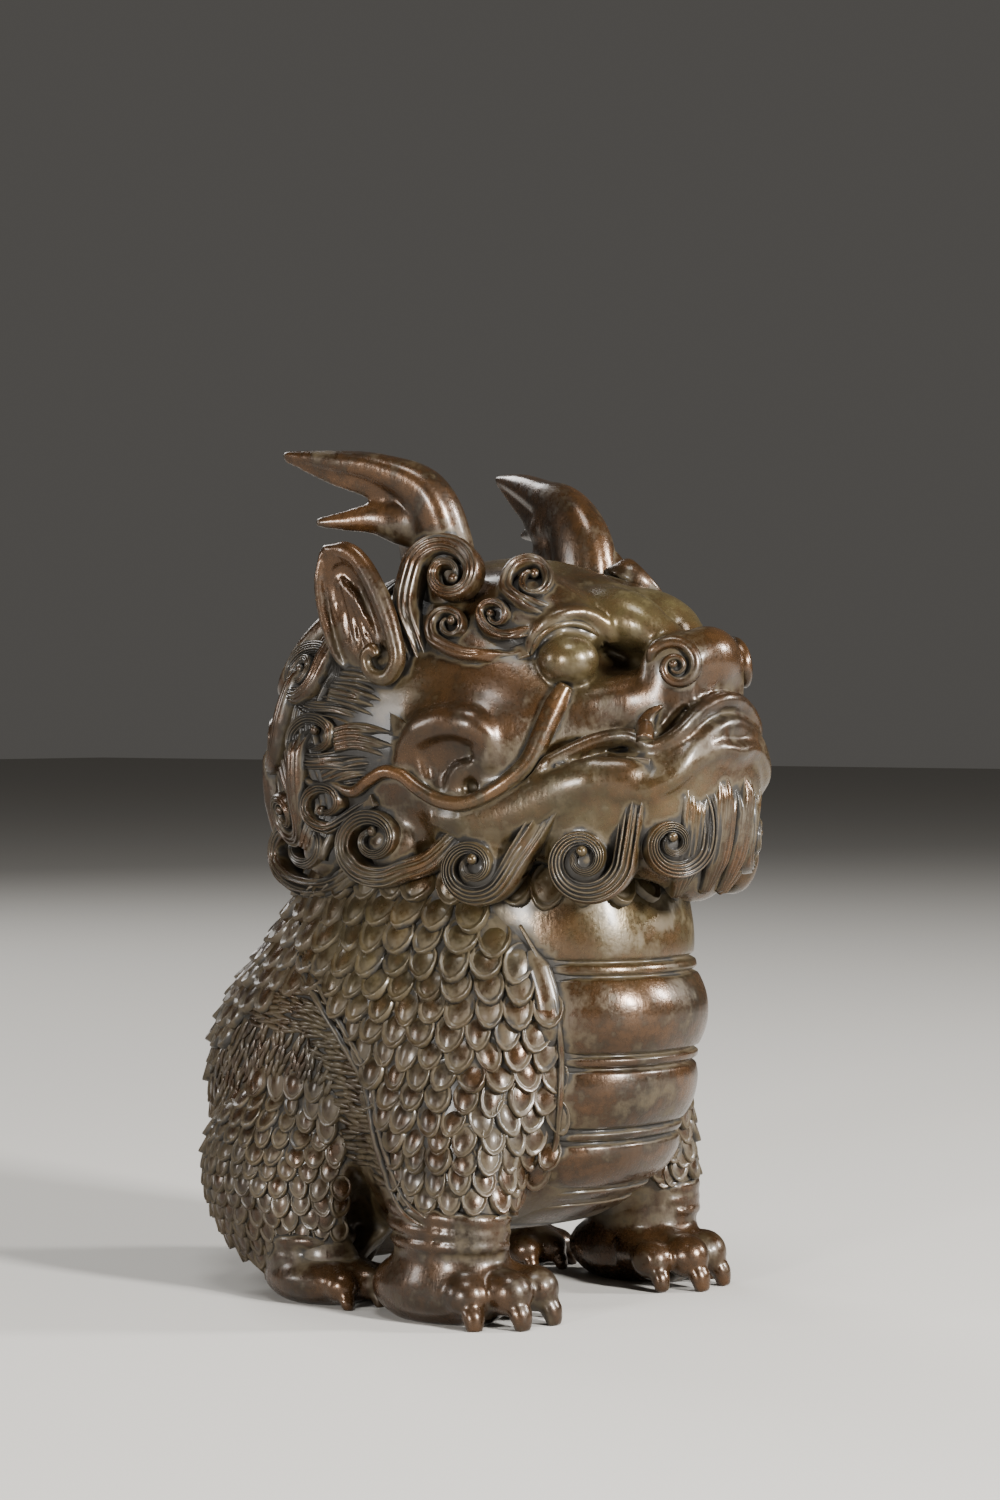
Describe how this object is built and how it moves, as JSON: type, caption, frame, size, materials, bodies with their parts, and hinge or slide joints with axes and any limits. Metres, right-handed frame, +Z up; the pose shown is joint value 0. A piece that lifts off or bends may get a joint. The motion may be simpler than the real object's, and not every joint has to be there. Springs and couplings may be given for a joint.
{
  "type": "mythical beast figure",
  "caption": "Small cast-bronze mythical beast seated on its haunches, with swept-back horns, coiled mane and beard, scaled shoulders and smooth belly plates.",
  "frame": {"origin": "middle of the figure's outline seen from above, on the surface that its feet stand on", "axes": "+Z up; the beast faces -Y, and its right side is towards -X"},
  "size_m": [0.0484, 0.0768, 0.0977],
  "materials": {
    "patinated_bronze": "dark reddish-brown patina, polished on raised parts, with olive-grey deposits in the recesses"
  },
  "bodies": {
    "root": {"beast_figure": "patinated_bronze"}
  },
  "joints": []
}
